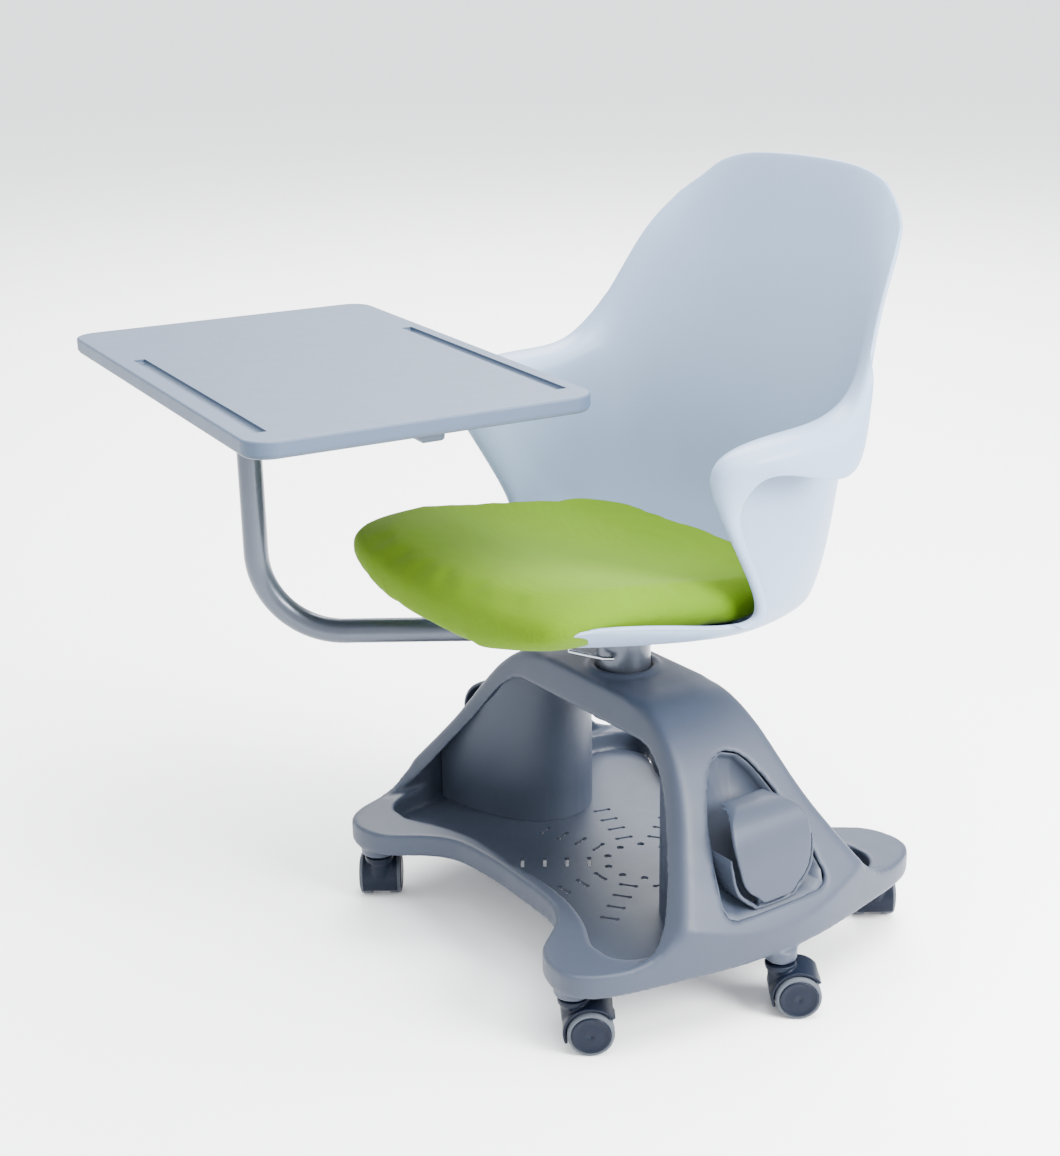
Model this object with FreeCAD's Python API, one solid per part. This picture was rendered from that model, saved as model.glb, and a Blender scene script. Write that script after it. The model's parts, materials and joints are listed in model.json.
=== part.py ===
"""Student desk chair: moulded storage base on six casters, swivel shell seat, swinging writing tablet.

Millimetres, +Z up.  The origin is the column axis at floor level.  The sitter faces -Y, so +X is the
sitter's left, where nothing swings, and -X is the side that the tablet arm stands on.  Heights above
the casters are counted from a datum BOSS_H above the floor, and save() raises those pieces by it.
"""
import FreeCAD, Part
import math
import os

V = FreeCAD.Vector
UP = V(0, 0, 1)

# ---------------------------------------------------------------- driving dimensions
SKIN = 5.0                     # wall of the base moulding
FIT = 0.4                      # gap between neighbouring mouldings

DECK_Z = 300.0                 # top of the arched base
FOOT_Z = 62.0                  # underside of the foot
BOSS_H = 12.0                  # height of the caster bosses under the foot
BOSS_Z = FOOT_Z - BOSS_H       # underside of the bosses
RIM_Z = 90.0                   # top of the foot's front and rear rim
TRAY_T = 4.0                   # basket floor thickness

WHEEL_R = 25.0                 # caster wheel radius
WHEEL_W = 15.0                 # width of one wheel of the pair
WHEEL_GAP = 19.0               # distance between the two wheels of a pair
TRAIL = 18.0                   # caster trail
AXLE_R = 3.0
STEM_R = 5.5
CASTER_TOP = 59.0              # top of a caster's hood

PILLAR_R = 22.0                # fixed pillar in the middle of the base
PILLAR_WALL = 3.0
PILLAR_BOTTOM = 248.0
PILLAR_TOP = 368.0
RUN = 0.05                     # radial clearance of a running fit
SPINDLE_R = 26.0               # tube under the seat that turns on the pillar
SLEEVE_R = 31.0                # arm sleeve, the part of the column that shows
SLEEVE_BOTTOM = 301.0
SLEEVE_TOP = 370.0

ARM_TUBE_R = 14.0
ARM_WALL = 2.0
ARM_REACH = 410.0              # column axis to the tablet post
ARM_ANGLE = -125.2             # direction of the arm, degrees from +X
ARM_Z = 347.0                  # axis of the arm's level run
ARM_BEND = 95.0                # centre line radius of the bend
POST_TOP = 622.0

TABLET_L = 595.0
TABLET_W = 377.0
TABLET_TOP = 648.0
TABLET_TURN = -6.3             # tablet's long side, degrees from X
TABLET_CENTRE = V(-228.0, -252.0, 0)
TABLET_CORNER = 28.0

SEAT_PLATE_Z = 372.0           # underside of the seat plate
SHELL_T = 5.0
BOARD_Z = 392.0                # underside of the seat board
BOARD_T = 10.0
LIP_Z = 427.0                  # where the cushion spreads over the shell's edge
CUSHION_FRONT = 464.0          # top of the cushion at its front and back edges
CUSHION_BACK = 440.0
SEAT_FRONT = -268.0
SEAT_BACK = 128.0


# ---------------------------------------------------------------- helpers
def save(shape, node, lift=BOSS_H):
    """Writes one node, raised from the datum to its height above the floor."""
    if not shape.isValid():
        shape.fix(1e-3, 1e-3, 1e-2)
    moved(shape, 0, 0, lift).exportStep("parts/%s.step" % node)


def wire_face(edges):
    return Part.Face(Part.Wire(Part.__sortEdges__(edges)))


def spline(points, start=None, end=None):
    """An interpolated edge; start and end are optional tangents."""
    curve = Part.BSplineCurve()
    if start is not None and end is not None:
        curve.interpolate(Points=points, InitialTangent=start, FinalTangent=end)
    else:
        curve.interpolate(points)
    return curve.toShape()


def line(a, b):
    return Part.makeLine(a, b)


def tube(r_out, r_in, z0, z1, x=0.0, y=0.0):
    at = V(x, y, z0)
    return Part.makeCylinder(r_out, z1 - z0, at).cut(Part.makeCylinder(r_in, z1 - z0 + 2, at - UP))


def disc(r, z0, z1, x=0.0, y=0.0):
    return Part.makeCylinder(r, z1 - z0, V(x, y, z0))


def mirrored(shape, normal):
    return shape.mirror(V(0, 0, 0), normal)


def turned(shape, degrees, centre=V(0, 0, 0), axis=UP):
    out = shape.copy()
    out.rotate(centre, axis, degrees)
    return out


def moved(shape, x, y, z):
    out = shape.copy()
    out.translate(V(x, y, z))
    return out


# ---------------------------------------------------------------- profiles of the arched base
def arch_face(inset):
    """Front view of the arch: flat deck, rounded shoulders, legs that spread to the foot."""
    shoulder = [(92, 300), (137, 287), (160, 270), (186, 240), (225, 180), (264, 125), (283, 94), (299, 58)]
    points = []
    for i, (x, z) in enumerate(shoulder):
        steep = min(1.0, i / 3.0)
        points.append(V(x - inset * steep, 0, z - inset * (1.0 - 0.42 * steep)))
    right = spline(points, V(1, 0, 0), V(0.5, 0, -1))
    left = mirrored(right, V(1, 0, 0))
    deck, low = points[0], points[-1]
    return wire_face([right, left, line(V(-deck.x, 0, deck.z), deck), line(V(-low.x, 0, low.z), low)])


def side_face(inset):
    """Side view of the arch: the front and rear faces lean in, then flare out over the foot."""
    flare = [(56, 300), (60, 285), (72, 240), (96, 180), (112, 150), (130, 120), (152, 100), (190, 90), (262, 84)]
    points = [V(0, y - inset, z) for y, z in flare]
    front = spline(points)
    rear = mirrored(front, V(0, 1, 0))
    top, low = points[0], points[-1]
    return wire_face([
        front, rear,
        line(V(0, -top.y, top.z), V(0, -top.y, 320)), line(V(0, -top.y, 320), V(0, top.y, 320)),
        line(V(0, top.y, 320), top),
        line(low, V(0, low.y, 40)), line(V(0, low.y, 40), V(0, -low.y, 40)),
        line(V(0, -low.y, 40), V(0, -low.y, low.z)),
    ])


def foot_outline():
    """Plan of the foot: hollow front and rear edges, four rounded lobes, bowed sides."""
    quarter = [(0, 164), (60, 166), (106, 176), (137, 204), (161, 232), (192, 244), (224, 239), (246, 210),
               (260, 160), (273, 100), (282, 45), (284, 0)]
    points = [V(x, -y, 0) for x, y in quarter]
    points += [V(x, y, 0) for x, y in reversed(quarter[:-1])]
    points += [V(-x, y, 0) for x, y in quarter[1:]]
    points += [V(-x, -y, 0) for x, y in reversed(quarter[1:-1])]
    curve = Part.BSplineCurve()
    curve.interpolate(points, PeriodicFlag=True)
    return Part.Face(Part.Wire(curve.toShape()))


def basket_outline():
    """Plan of the basket: the space inside the foot's rim, running into each lobe."""
    quarter = [(0, 149), (80, 148), (124, 157), (162, 173), (190, 186), (216, 184), (234, 167), (243, 130),
               (259, 80), (270, 0)]
    points = [V(x, -y, 0) for x, y in quarter]
    points += [V(x, y, 0) for x, y in reversed(quarter[:-1])]
    points += [V(-x, y, 0) for x, y in quarter[1:]]
    points += [V(-x, -y, 0) for x, y in reversed(quarter[1:-1])]
    curve = Part.BSplineCurve()
    curve.interpolate(points, PeriodicFlag=True)
    return Part.Face(Part.Wire(curve.toShape()))


def opening_face():
    """Front view of the way into the basket, between the legs and under the deck."""
    half = [(100, 262), (127, 258), (152, 240), (181, 200), (209, 160), (234, 120), (248, 96)]
    right = spline([V(x, 0, z) for x, z in half])
    left = mirrored(right, V(1, 0, 0))
    low = FOOT_Z + TRAY_T + 20
    return wire_face([
        right, left, line(V(-100, 0, 262), V(100, 0, 262)),
        line(V(248, 0, 96), V(248, 0, low)), line(V(248, 0, low), V(-248, 0, low)),
        line(V(-248, 0, low), V(-248, 0, 96)),
    ])


def window_face(grow=0.0):
    """Side view of the window in a leg's outer face: a tall rounded triangle."""
    half = [(0, 253), (20, 247), (34, 230), (50, 198), (62, 160), (70, 126)]
    points = [V(0, y + grow * min(1, i), z + (grow if i == 0 else 0)) for i, (y, z) in enumerate(half)]
    right = spline(points, V(0, 1, 0), V(0, 0.15, -1))
    left = mirrored(right, V(0, 1, 0))
    y1, z1 = points[-1].y, points[-1].z
    low = 112.0 - grow
    corner = Part.Arc(V(0, y1, z1), V(0, y1 - 3, z1 - 10 - grow / 2), V(0, y1 - 13, low)).toShape()
    return wire_face([right, left, corner, mirrored(corner, V(0, 1, 0)),
                      line(V(0, -(y1 - 13), low), V(0, y1 - 13, low))])


CORNER_CASTERS = [(-197.0, -219.0), (197.0, -219.0), (197.0, 219.0), (-197.0, 219.0)]
SIDE_CASTERS = [(274.0, 0.0), (-274.0, 0.0)]
CASTERS = CORNER_CASTERS + SIDE_CASTERS
CASTER_NAMES = ["front_right", "front_left", "rear_left", "rear_right", "side_left", "side_right"]
TRAIL_ANGLES = [144.8, 54.8, 144.8, 100.0, 54.8, 120.0]


def base_moulding():
    """One moulding: deck, two hollow legs with a window each, and the foot's rim round the basket."""
    wide = 700.0
    arch = arch_face(0).extrude(V(0, wide, 0))
    arch.translate(V(0, -wide / 2, 0))
    faces = side_face(0).extrude(V(wide, 0, 0))
    faces.translate(V(-wide / 2, 0, 0))
    foot = foot_outline()
    foot.translate(V(0, 0, FOOT_Z))
    tall_foot = foot.extrude(V(0, 0, 300))
    body = arch.common(faces).common(tall_foot)
    body = body.fuse(foot.extrude(V(0, 0, RIM_Z - FOOT_Z)).common(arch))

    inner_arch = arch_face(SKIN).extrude(V(0, wide, 0))
    inner_arch.translate(V(0, -wide / 2, 0))
    inner_faces = side_face(SKIN).extrude(V(wide, 0, 0))
    inner_faces.translate(V(-wide / 2, 0, 0))
    basket = basket_outline()
    basket.translate(V(0, 0, FOOT_Z + TRAY_T))
    hollow = basket.extrude(V(0, 0, 300)).common(inner_arch).common(inner_faces)
    body = body.cut(hollow)
    floor_seat = basket_outline()
    floor_seat.scale(0.985, V(0, 0, 0))
    floor_seat.translate(V(0, 0, FOOT_Z - 1))
    body = body.cut(floor_seat.extrude(V(0, 0, TRAY_T + 2)).common(Part.makeBox(480, 600, 40, V(-240, -300, 40))))

    opening = opening_face().extrude(V(0, wide, 0))
    opening.translate(V(0, -wide / 2, 0))
    above_rim = Part.makeBox(wide, wide, 300, V(-wide / 2, -wide / 2, RIM_Z))
    body = body.cut(opening.common(above_rim))

    window = window_face().extrude(V(300, 0, 0))
    body = body.cut(moved(window, 150, 0, 0)).cut(moved(window, -450, 0, 0))

    hub = disc(46, DECK_Z - 52, DECK_Z - SKIN + 1)
    ring = disc(42, DECK_Z - 1, DECK_Z + 5)
    body = body.fuse(hub).fuse(ring)
    for x, y in SIDE_CASTERS:
        body = body.fuse(disc(18, BOSS_Z, FOOT_Z + 2, x, y)).fuse(disc(18, FOOT_Z, FOOT_Z + 15, x, y).common(tall_foot))
    for x, y in CORNER_CASTERS:
        body = body.fuse(disc(21, BOSS_Z, FOOT_Z + 15, x, y))
    body = body.cut(disc(PILLAR_R, DECK_Z - 60, DECK_Z + 10))
    body = body.cut(disc(SLEEVE_R + 2.5, DECK_Z - 1, DECK_Z + 10))
    for x, y in CASTERS:
        body = body.cut(disc(STEM_R, BOSS_Z - 1, BOSS_Z + 24, x, y))
    return body.removeSplitter()


# ---------------------------------------------------------------- basket floor and leg linings
PATTERN_X = 36.0               # centre of the floor's hole pattern
PATTERN_ROWS = 10
RING_R = 42.0


def tray_panel():
    """Perforated floor: a ring of oval holes and ten rows of four slots that lie across each row."""
    floor = basket_outline()
    floor.scale(0.983, V(0, 0, 0))
    floor.translate(V(0, 0, FOOT_Z))
    panel = floor.extrude(V(0, 0, TRAY_T)).common(Part.makeBox(479, 600, 40, V(-239.5, -300, 50)))
    holes = []
    for row in range(PATTERN_ROWS):
        angle = 54.8 + 360.0 * row / PATTERN_ROWS
        hole = Part.makeCylinder(4.5, 20, V(RING_R, 0, FOOT_Z - 5))
        holes.append(turned(hole, angle + 18))
        for radius in (62, 88, 114, 140):
            slot = slot_cutter(radius)
            holes.append(turned(slot, angle))
    pattern = moved(Part.makeCompound(holes), PATTERN_X, 0, 0)
    reach = basket_outline()
    reach.scale(0.93, V(0, 0, 0))
    reach.translate(V(0, 0, FOOT_Z - 6))
    keep = reach.extrude(V(0, 0, 30))
    for hole in pattern.Solids:
        inside = keep.common(hole)
        if inside.Volume > 0.999 * hole.common(Part.makeBox(700, 700, 30, V(-350, -350, FOOT_Z - 6))).Volume:
            panel = panel.cut(hole)
    return panel


def slot_cutter(radius):
    """A slot across the row, round at both ends, with a narrow waist."""
    waist = Part.makeBox(4, 20, 20, V(radius - 2, -10, FOOT_Z - 5))
    ends = [Part.makeCylinder(3, 20, V(radius, y, FOOT_Z - 5)) for y in (-8.5, 8.5)]
    return waist.fuse(ends).removeSplitter()


def lining_plan(inset):
    """Plan of the lining behind a leg's window: a U that bulges into the basket."""
    curve = [(276, -95), (236, -92), (180, -78), (134, -54), (110, -20)]
    points = [V(x + inset, y + inset, 0) for x, y in curve]
    points += [V(x + inset, -y - inset, 0) for x, y in reversed(curve)]
    edge = spline(points)
    return wire_face([edge, line(points[-1], points[0])])


def leg_lining(side):
    outer = lining_plan(0)
    outer.translate(V(0, 0, FOOT_Z + TRAY_T + FIT))
    inner = lining_plan(3.5)
    inner.translate(V(0, 0, FOOT_Z + TRAY_T - 2))
    wall = outer.extrude(V(0, 0, 250)).cut(inner.extrude(V(0, 0, 260)))
    arch = arch_face(SKIN + FIT + 0.4).extrude(V(0, 700, 0))
    arch.translate(V(0, -350, 0))
    faces = side_face(SKIN + FIT).extrude(V(700, 0, 0))
    faces.translate(V(-350, 0, 0))
    basket = basket_outline()
    basket.scale(0.985, V(0, 0, 0))
    lining = wall.common(arch).common(faces).common(basket.extrude(V(0, 0, 400)))
    lining = lining.cut(disc(18 + FIT, BOSS_Z, FOOT_Z + 16, *SIDE_CASTERS[0]))
    lining = max(lining.Solids, key=lambda s: s.Volume)
    return lining if side > 0 else mirrored(lining, V(1, 0, 0))


# ---------------------------------------------------------------- fold-out cup holders
FLAP_PIVOT = V(264.0, 0, 124.0)
FLAP_T = 3.5


def flap_front(grow, low):
    """The flap seen from the side of the chair: wide rounded top, sides that draw in to a rounded bottom."""
    half = [(0, 216), (30, 215), (46, 207), (52, 190), (50, 165), (40, 138), (24, 124), (0, low)]
    points = [V(0, y + grow * min(1.0, y / 24.0), z + (grow if z > 200 else -grow if z < 140 else 0))
              for y, z in half]
    right = spline(points, V(0, 1, 0), V(0, -1, 0))
    return wire_face([right, mirrored(right, V(0, 1, 0))])


def flap_side(inset):
    """Section of the flap: a front plate that rolls over at the top and runs back to the leg."""
    rim = [(272, 108), (266, 150), (257, 190), (244, 209), (226, 216), (208, 217)]
    points = [V(x - inset, 0, z - inset) for x, z in rim]
    return points


def cup_flap(side):
    outer, inner = flap_side(0), flap_side(FLAP_T)
    section = wire_face([spline(outer), spline(inner), line(outer[0], inner[0]), line(outer[-1], inner[-1])])
    plate = section.extrude(V(0, 160, 0))
    plate.translate(V(0, -80, 0))
    shape = flap_front(0, 119).extrude(V(200, 0, 0))
    shape.translate(V(130, 0, 0))
    flap = plate.common(shape)
    lug = Part.makeBox(8, 24, 9, V(FLAP_PIVOT.x - 5, -12, FLAP_PIVOT.z - 4))
    flap = flap.fuse(lug.common(section_block(outer)))
    flap = flap.cut(Part.makeCylinder(2.0 + RUN, 80, V(FLAP_PIVOT.x, -40, FLAP_PIVOT.z), V(0, 1, 0)))
    flap = flap.removeSplitter()
    return flap if side > 0 else mirrored(flap, V(1, 0, 0))


def flap_foot():
    """The flap's lower end with clearance all round, to cut its swing out of the pocket."""
    outer, inner = flap_side(-1.0), flap_side(FLAP_T + 1.0)
    section = wire_face([spline(outer), spline(inner), line(outer[0], inner[0]), line(outer[-1], inner[-1])])
    plate = section.extrude(V(0, 160, 0))
    plate.translate(V(0, -80, 0))
    shape = flap_front(1.2, 117).extrude(V(200, 0, 0))
    shape.translate(V(130, 0, 0))
    return plate.common(shape).common(Part.makeBox(200, 160, 45, V(130, -80, 95)))


def section_block(points):
    """Everything behind the flap's outer face, to trim what stands behind it."""
    low, top = points[0], points[-1]
    face = wire_face([spline(points), line(top, V(150, 0, top.z)), line(V(150, 0, top.z), V(150, 0, low.z)),
                      line(V(150, 0, low.z), low)])
    block = face.extrude(V(0, 160, 0))
    block.translate(V(0, -80, 0))
    return block


def cup_pocket(side):
    """The bucket that takes the cup, with a rim that frames the flap."""
    outside = flap_front(8, 119).extrude(V(105, 0, 0))
    outside.translate(V(160, 0, 0))
    inside = flap_front(4.6, 119).extrude(V(200, 0, 0))
    inside.translate(V(163.5, 0, 0))
    bucket = outside.cut(inside)
    front = [V(p.x - 4.5, 0, p.z) for p in flap_side(0)]
    front[0] = V(front[0].x + 0.6, 0, 98)
    front[-1] = V(206, 0, 212)
    low, top = front[0], front[-1]
    face = wire_face([spline(front), line(top, V(140, 0, top.z)), line(V(140, 0, top.z), V(140, 0, low.z)),
                      line(V(140, 0, low.z), low)])
    keep = face.extrude(V(0, 160, 0))
    keep.translate(V(0, -80, 0))
    bucket = bucket.common(keep)
    bucket = bucket.cut(moved(flap_front(4.6, 119).extrude(V(60, 0, 0)), 190, 0, 0))
    mouth = Part.makeBox(42, 88, 30, V(163.5, -44, 196))
    bucket = bucket.cut(mouth)
    clear = Part.makeBox(16, 27, 20, V(FLAP_PIVOT.x - 9, -13.5, FLAP_PIVOT.z - 9))
    ears = Part.makeBox(8, 44, 12, V(FLAP_PIVOT.x - 8, -22, FLAP_PIVOT.z - 9)).common(keep)
    bucket = bucket.fuse(ears).cut(clear)
    for opened in range(0, 45, 5):
        bucket = bucket.cut(turned(flap_foot(), opened, FLAP_PIVOT, V(0, 1, 0)))
    pin_hole = Part.makeCylinder(2.0, 80, V(FLAP_PIVOT.x, -40, FLAP_PIVOT.z), V(0, 1, 0))
    bucket = bucket.cut(pin_hole)
    behind_skin = arch_face(SKIN + FIT).extrude(V(0, 400, 0))
    behind_skin.translate(V(0, -200, 0))
    in_window = moved(window_face(-FIT).extrude(V(300, 0, 0)), 150, 0, 0)
    bucket = bucket.common(behind_skin).fuse(bucket.common(in_window)).removeSplitter()
    bucket = max(bucket.Solids, key=lambda s: s.Volume)
    return bucket if side > 0 else mirrored(bucket, V(1, 0, 0))


def flap_pin(side):
    pin = Part.makeCylinder(2.0, 40, V(FLAP_PIVOT.x, -20, FLAP_PIVOT.z), V(0, 1, 0))
    return pin if side > 0 else mirrored(pin, V(1, 0, 0))


# ---------------------------------------------------------------- column
ARM_DIR = V(math.cos(math.radians(ARM_ANGLE)), math.sin(math.radians(ARM_ANGLE)), 0)
ARM_SIDE = V(-ARM_DIR.y, ARM_DIR.x, 0)
BAIL_Z = 322.0
BAIL_R = 2.2
BAIL_PIVOT = 14.0              # along the arm from the column axis


def pillar():
    """Steel tube pressed up through the hub, with a flange under it."""
    bore = PILLAR_R - PILLAR_WALL
    post = tube(PILLAR_R, bore, PILLAR_BOTTOM - 4, PILLAR_TOP)
    flange = tube(38, bore, PILLAR_BOTTOM - 4, PILLAR_BOTTOM)
    return post.fuse(flange).removeSplitter()


def spindle():
    return tube(SPINDLE_R, 24.0, 306.0, SEAT_PLATE_Z)


def bush(z0, z1):
    return tube(24.0, PILLAR_R + RUN, z0, z1)


def arm_sleeve():
    sleeve = tube(SLEEVE_R, SPINDLE_R + RUN, SLEEVE_BOTTOM, SLEEVE_TOP)
    sleeve = sleeve.cut(disc(29.5, SLEEVE_BOTTOM - 1, 313))
    centre = ARM_DIR * BAIL_PIVOT + UP * BAIL_Z
    hole = Part.makeCylinder(BAIL_R + RUN, 80, centre - ARM_SIDE * 40, ARM_SIDE)
    return sleeve.cut(hole)


def bail():
    """Wire loop under the arm: its two ends turn inwards into the sleeve."""
    def at(along, across):
        return ARM_DIR * along + ARM_SIDE * across + UP * BAIL_Z
    route = [at(BAIL_PIVOT, 24.0), at(BAIL_PIVOT, 35), at(24, 34), at(61, 11), at(61, -11), at(24, -34),
             at(BAIL_PIVOT, -35), at(BAIL_PIVOT, -24.0)]
    pieces = []
    for a, b in zip(route, route[1:]):
        pieces.append(Part.makeCylinder(BAIL_R, (b - a).Length, a, b - a))
    for p in route[1:-1]:
        pieces.append(Part.makeSphere(BAIL_R, p))
    return pieces[0].fuse(pieces[1:]).removeSplitter()


# ---------------------------------------------------------------- tablet arm
def arm_path(start):
    """Level run out from the sleeve, one wide bend, then the upright post."""
    run_end = ARM_DIR * (ARM_REACH - ARM_BEND) + UP * ARM_Z
    bend_centre = run_end + UP * ARM_BEND
    post_foot = bend_centre + ARM_DIR * ARM_BEND
    s = math.sqrt(0.5) * ARM_BEND
    bend_mid = bend_centre + ARM_DIR * s - UP * s
    first = ARM_DIR * start + UP * ARM_Z
    top = ARM_DIR * ARM_REACH + UP * POST_TOP
    return Part.Wire([line(first, run_end), Part.Arc(run_end, bend_mid, post_foot).toShape(),
                      line(post_foot, top)])


def swept(path, radius):
    start = path.Vertexes[0].Point
    ring = Part.Wire(Part.makeCircle(radius, start, ARM_DIR))
    return path.makePipeShell([ring], True, False)


def arm_tube():
    outer = swept(arm_path(22), ARM_TUBE_R)
    inner = swept(arm_path(20), ARM_TUBE_R - ARM_WALL)
    return outer.cut(inner).cut(disc(SLEEVE_R, 300, 400))


POST = ARM_DIR * ARM_REACH


def post_bush():
    return tube(16.0, ARM_TUBE_R, 604.0, POST_TOP, POST.x, POST.y)


def post_cap():
    return disc(ARM_TUBE_R - ARM_WALL, POST_TOP - 6, POST_TOP, POST.x, POST.y).fuse(
        disc(ARM_TUBE_R, POST_TOP, POST_TOP + 2, POST.x, POST.y))


# ---------------------------------------------------------------- tablet
PAN_BOTTOM = 630.0
BRACKET_T = 3.0


def tablet_slab(inset, z0, z1):
    """Rounded rectangle, in the tablet's own axes, then turned and put in place."""
    x, y, r = TABLET_L / 2 - inset, TABLET_W / 2 - inset, TABLET_CORNER - inset
    slab = Part.makeBox(2 * x, 2 * y, z1 - z0, V(-x, -y, z0))
    upright = [e for e in slab.Edges if abs(e.tangentAt(e.FirstParameter).z) > 0.99]
    return slab.makeFillet(r, upright)


def in_place(shape):
    out = turned(shape, TABLET_TURN)
    out.translate(TABLET_CENTRE)
    return out


def tablet_top():
    """Upper half of the tablet, with a pen groove along each long side."""
    slab = tablet_slab(0, PAN_BOTTOM + 4, TABLET_TOP)
    top_edges = [e for e in slab.Edges if min(v.Z for v in e.Vertexes) > TABLET_TOP - 0.1]
    slab = slab.makeFillet(2.5, top_edges)
    for y in (-162.0, 166.0):
        groove = Part.makeBox(375, 13, 6, V(-118, y - 6.5, TABLET_TOP - 5))
        low_edges = [e for e in groove.Edges if max(v.Z for v in e.Vertexes) < TABLET_TOP - 4.9]
        slab = slab.cut(groove.makeFillet(3, low_edges))
    return in_place(slab)


def tablet_pan():
    """Lower half of the tablet: a shallow tray with a rolled edge."""
    pan = tablet_slab(1.5, PAN_BOTTOM, PAN_BOTTOM + 4)
    low_edges = [e for e in pan.Edges if max(v.Z for v in e.Vertexes) < PAN_BOTTOM + 0.1]
    return in_place(pan.makeFillet(2.5, low_edges)).cut(screw_holes())


def tablet_grip():
    """Low finger grip under the end of the tablet that is nearest the sitter's left."""
    grip = Part.makeBox(36, 26, 14, V(236, -2, PAN_BOTTOM - 14))
    return in_place(grip.makeFillet(5, [e for e in grip.Edges if max(v.Z for v in e.Vertexes) < PAN_BOTTOM - 1]))


SCREW_SPOTS = [(-70, -45), (70, -45), (70, 45), (-70, 45)]


def tablet_bracket():
    """Plate under the tablet with a short socket that turns on the post."""
    plate = Part.makeBox(190, 130, BRACKET_T, V(-95, -65, PAN_BOTTOM - BRACKET_T))
    plate = plate.makeFillet(12, [e for e in plate.Edges if abs(e.tangentAt(e.FirstParameter).z) > 0.99])
    plate = moved(turned(plate, TABLET_TURN), POST.x, POST.y, 0)
    socket = tube(19, 16 + RUN, POST_TOP - 8, PAN_BOTTOM - BRACKET_T, POST.x, POST.y)
    return plate.fuse(socket).cut(screw_holes())


def screw_holes():
    holes = [disc(2.0, PAN_BOTTOM - 8, PAN_BOTTOM + 3, x, y) for x, y in SCREW_SPOTS]
    group = Part.makeCompound(holes)
    return moved(turned(group, TABLET_TURN), POST.x, POST.y, 0)


def tablet_screws():
    screws = []
    for x, y in SCREW_SPOTS:
        head = disc(4.0, PAN_BOTTOM - BRACKET_T - 2.5, PAN_BOTTOM - BRACKET_T, x, y)
        screws.append(head.fuse(disc(2.0, PAN_BOTTOM - BRACKET_T, PAN_BOTTOM + 3, x, y)))
    return moved(turned(Part.makeCompound(screws), TABLET_TURN), POST.x, POST.y, 0)


# ---------------------------------------------------------------- seat
def seat_plate():
    plate = Part.makeBox(170, 150, 4, V(-85, -75, SEAT_PLATE_Z + 4))
    plate = plate.makeFillet(18, [e for e in plate.Edges if abs(e.tangentAt(e.FirstParameter).z) > 0.99])
    plate = plate.fuse(disc(40, SEAT_PLATE_Z, SEAT_PLATE_Z + 4))
    holes = [disc(3.0, SEAT_PLATE_Z, SEAT_PLATE_Z + 20, x, y) for x, y in SEAT_SCREWS]
    return plate.cut(Part.makeCompound(holes))


SEAT_SCREWS = [(-65.0, -52.0), (65.0, -52.0), (65.0, 52.0), (-65.0, 52.0)]
PAN_Z = SEAT_PLATE_Z + 8.0     # underside of the shell's bottom


def seat_screws():
    screws = []
    for x, y in SEAT_SCREWS:
        head = disc(5.5, SEAT_PLATE_Z + 0.5, SEAT_PLATE_Z + 4, x, y)
        screws.append(head.fuse(disc(3.0, SEAT_PLATE_Z + 4, PAN_Z + 12, x, y)))
    return Part.makeCompound(screws)


# Outer surface of the shell as a net of control points.  Each row runs from the middle of the shell to
# its edge on the sitter's left; rows go from the front of the seat to the top of the back.
SHELL_NET = [
    [(0, -244, 412), (95, -244, 412), (150, -240, 413), (182, -230, 415), (198, -214, 417), (203, -206, 418),
     (205, -200, 419), (206, -194, 420)],
    [(0, -195, 390), (95, -195, 391), (150, -190, 396), (184, -180, 406), (201, -168, 413), (207, -160, 417),
     (209, -155, 419), (211, -150, 421)],
    [(0, -115, 380), (95, -115, 380), (155, -112, 385), (192, -105, 398), (209, -98, 410), (214, -92, 417),
     (216, -88, 421), (218, -84, 424)],
    [(0, -35, 380), (95, -35, 380), (158, -32, 384), (198, -28, 396), (214, -22, 412), (218, -12, 424),
     (219, -4, 432), (220, 4, 438)],
    [(0, 40, 380), (95, 40, 380), (160, 42, 384), (202, 40, 398), (219, 30, 424), (222, 10, 450),
     (223, -4, 466), (223, -12, 480)],
    [(0, 105, 384), (95, 106, 385), (160, 104, 390), (204, 94, 408), (222, 60, 452), (225, 25, 500),
     (226, -20, 530), (226, -45, 535)],
    [(0, 152, 408), (92, 150, 410), (155, 140, 420), (199, 120, 446), (221, 78, 500), (223, 30, 566),
     (230, -40, 604), (240, -92, 580)],
    [(0, 174, 456), (88, 172, 458), (150, 160, 466), (198, 132, 490), (216, 92, 545), (214, 60, 600),
     (238, 15, 620), (266, -30, 590)],
    [(0, 186, 520), (85, 184, 522), (145, 174, 528), (192, 147, 545), (211, 112, 580), (211, 95, 612),
     (238, 62, 622), (268, 50, 576)],
    [(0, 198, 580), (82, 196, 582), (140, 186, 588), (186, 162, 600), (205, 135, 618), (216, 116, 632),
     (238, 102, 632), (266, 98, 584)],
    [(0, 210, 640), (80, 208, 642), (135, 199, 645), (178, 178, 650), (202, 158, 655), (216, 144, 655),
     (234, 134, 650), (250, 124, 622)],
    [(0, 224, 710), (78, 222, 710), (130, 213, 710), (172, 195, 710), (193, 182, 708), (204, 174, 705),
     (212, 167, 700), (221, 158, 690)],
    [(0, 240, 775), (72, 238, 773), (120, 231, 770), (158, 218, 765), (180, 208, 760), (190, 201, 757),
     (198, 196, 754), (206, 190, 750)],
    [(0, 252, 826), (65, 251, 823), (108, 246, 817), (142, 238, 806), (165, 229, 794), (177, 223, 788),
     (186, 218, 784), (194, 213, 779)],
    [(0, 260, 852), (58, 259, 851), (95, 257, 846), (126, 252, 836), (150, 244, 820), (163, 238, 810),
     (172, 233, 803), (180, 228, 797)],
]


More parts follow.
